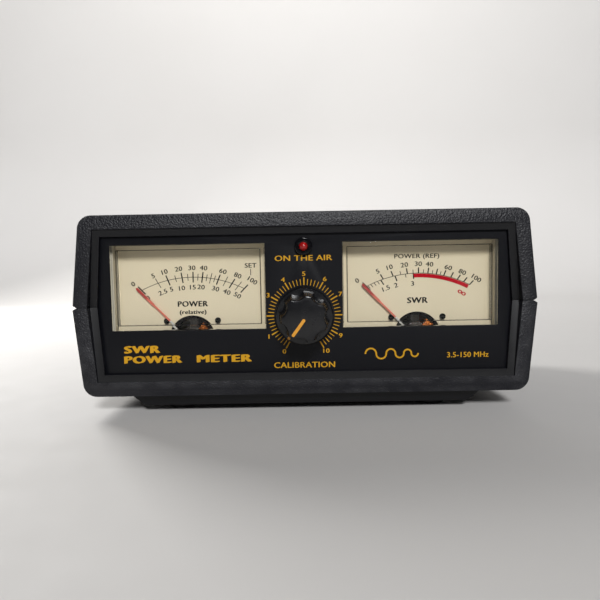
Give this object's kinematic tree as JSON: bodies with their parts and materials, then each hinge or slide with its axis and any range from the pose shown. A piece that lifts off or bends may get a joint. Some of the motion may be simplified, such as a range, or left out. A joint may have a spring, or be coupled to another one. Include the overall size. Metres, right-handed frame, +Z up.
{
  "type": "swr meter",
  "caption": "Desktop standing-wave and power meter with two dial windows, a calibration knob, an indicator lamp and coaxial sockets at the back.",
  "frame": {"origin": "on the desk, under the middle of the whole meter from knob to sockets", "axes": "+X to the right of someone who faces the panel, +Y from the panel to the sockets, +Z up"},
  "size_m": [0.155, 0.117, 0.0681],
  "materials": {
    "case_plastic": "moulded grain",
    "panel_paint": "satin",
    "foot_rubber": "matt",
    "clear_acrylic": "clear, polished",
    "housing_plastic": "satin",
    "dial_paint": "cream, matt",
    "needle_paint": "red paint",
    "dark_screw": "blackened",
    "bright_steel": "bright",
    "winding_copper": "enamelled copper wire",
    "soft_iron": "turned",
    "magnet_alloy": "dark",
    "spring_bronze": "bright",
    "brass_plated": "plated",
    "knob_plastic": "gloss",
    "pointer_paint": "yellow-orange fill",
    "shaft_aluminium": "turned",
    "pot_can": "plated",
    "phenolic": "laminate",
    "red_epoxy": "tinted, glossy",
    "clip_plastic": "gloss",
    "socket_nickel": "nickel plate",
    "socket_resin": "brown resin",
    "contact_silver": "silver plate",
    "board_laminate": "phenolic laminate",
    "tinned_copper": "tinned",
    "tinplate": "tinned sheet",
    "diode_glass": "clear",
    "resistor_paint": "matt",
    "capacitor_ceramic": "matt",
    "wire_red": "insulation",
    "wire_white": "insulation"
  },
  "bodies": {
    "case": {"upper_case": "case_plastic", "lower_case": "case_plastic", "case_screws": "bright_steel", "rubber_feet": "foot_rubber", "front_panel": "panel_paint", "rear_panel": "panel_paint", "pot_bushing": "brass_plated", "pot_washer": "bright_steel", "pot_nut": "bright_steel", "pot_body": "pot_can", "pot_track": "phenolic", "pot_terminals": "tinned_copper", "led": "red_epoxy", "led_clip": "clip_plastic", "led_leads": "tinned_copper", "transmitter_socket": "socket_nickel", "antenna_socket": "socket_nickel", "transmitter_insulator": "socket_resin", "antenna_insulator": "socket_resin", "transmitter_contact": "contact_silver", "antenna_contact": "contact_silver", "socket_screws": "bright_steel", "socket_nuts": "bright_steel", "coupler_board": "board_laminate", "line_tracks": "tinned_copper", "coupler_trough": "tinplate", "detector_diodes": "diode_glass", "board_resistors": "resistor_paint", "bypass_capacitors": "capacitor_ceramic", "meter_wires": "wire_red", "knob_wires": "wire_white", "left_meter_cover": "clear_acrylic", "left_meter_housing": "housing_plastic", "left_dial_plate": "dial_paint", "left_dial_screws": "dark_screw", "left_core": "soft_iron", "left_magnet_yoke": "magnet_alloy", "left_bridges": "brass_plated", "left_hairspring": "spring_bronze", "left_meter_terminals": "brass_plated", "right_meter_cover": "clear_acrylic", "right_meter_housing": "housing_plastic", "right_dial_plate": "dial_paint", "right_dial_screws": "dark_screw", "right_core": "soft_iron", "right_magnet_yoke": "magnet_alloy", "right_bridges": "brass_plated", "right_hairspring": "spring_bronze", "right_meter_terminals": "brass_plated"},
    "knob": {"calibration_knob": "knob_plastic", "knob_pointer": "pointer_paint", "knob_set_screw": "bright_steel", "pot_shaft": "shaft_aluminium", "pot_wiper": "spring_bronze"},
    "left_pointer": {"left_needle": "needle_paint", "left_moving_coil": "winding_copper", "left_pivot_pins": "bright_steel"},
    "right_pointer": {"right_needle": "needle_paint", "right_moving_coil": "winding_copper", "right_pivot_pins": "bright_steel"}
  },
  "joints": [
    {"name": "calibration_turn", "type": "hinge", "parent": "case", "child": "knob", "pos_m": [0, -0.0444, 0.0331], "axis": [0, 1, 0], "range_deg": [-6, 294]},
    {"name": "left_needle_swing", "type": "hinge", "parent": "case", "child": "left_pointer", "pos_m": [-0.03944, -0.0394, 0.0235], "axis": [0, 1, 0], "range_deg": [-1, 90], "stiffness_Nm_per_rad": 0.00002},
    {"name": "right_needle_swing", "type": "hinge", "parent": "case", "child": "right_pointer", "pos_m": [0.03944, -0.0394, 0.0235], "axis": [0, 1, 0], "range_deg": [-1, 90], "stiffness_Nm_per_rad": 0.00002}
  ]
}
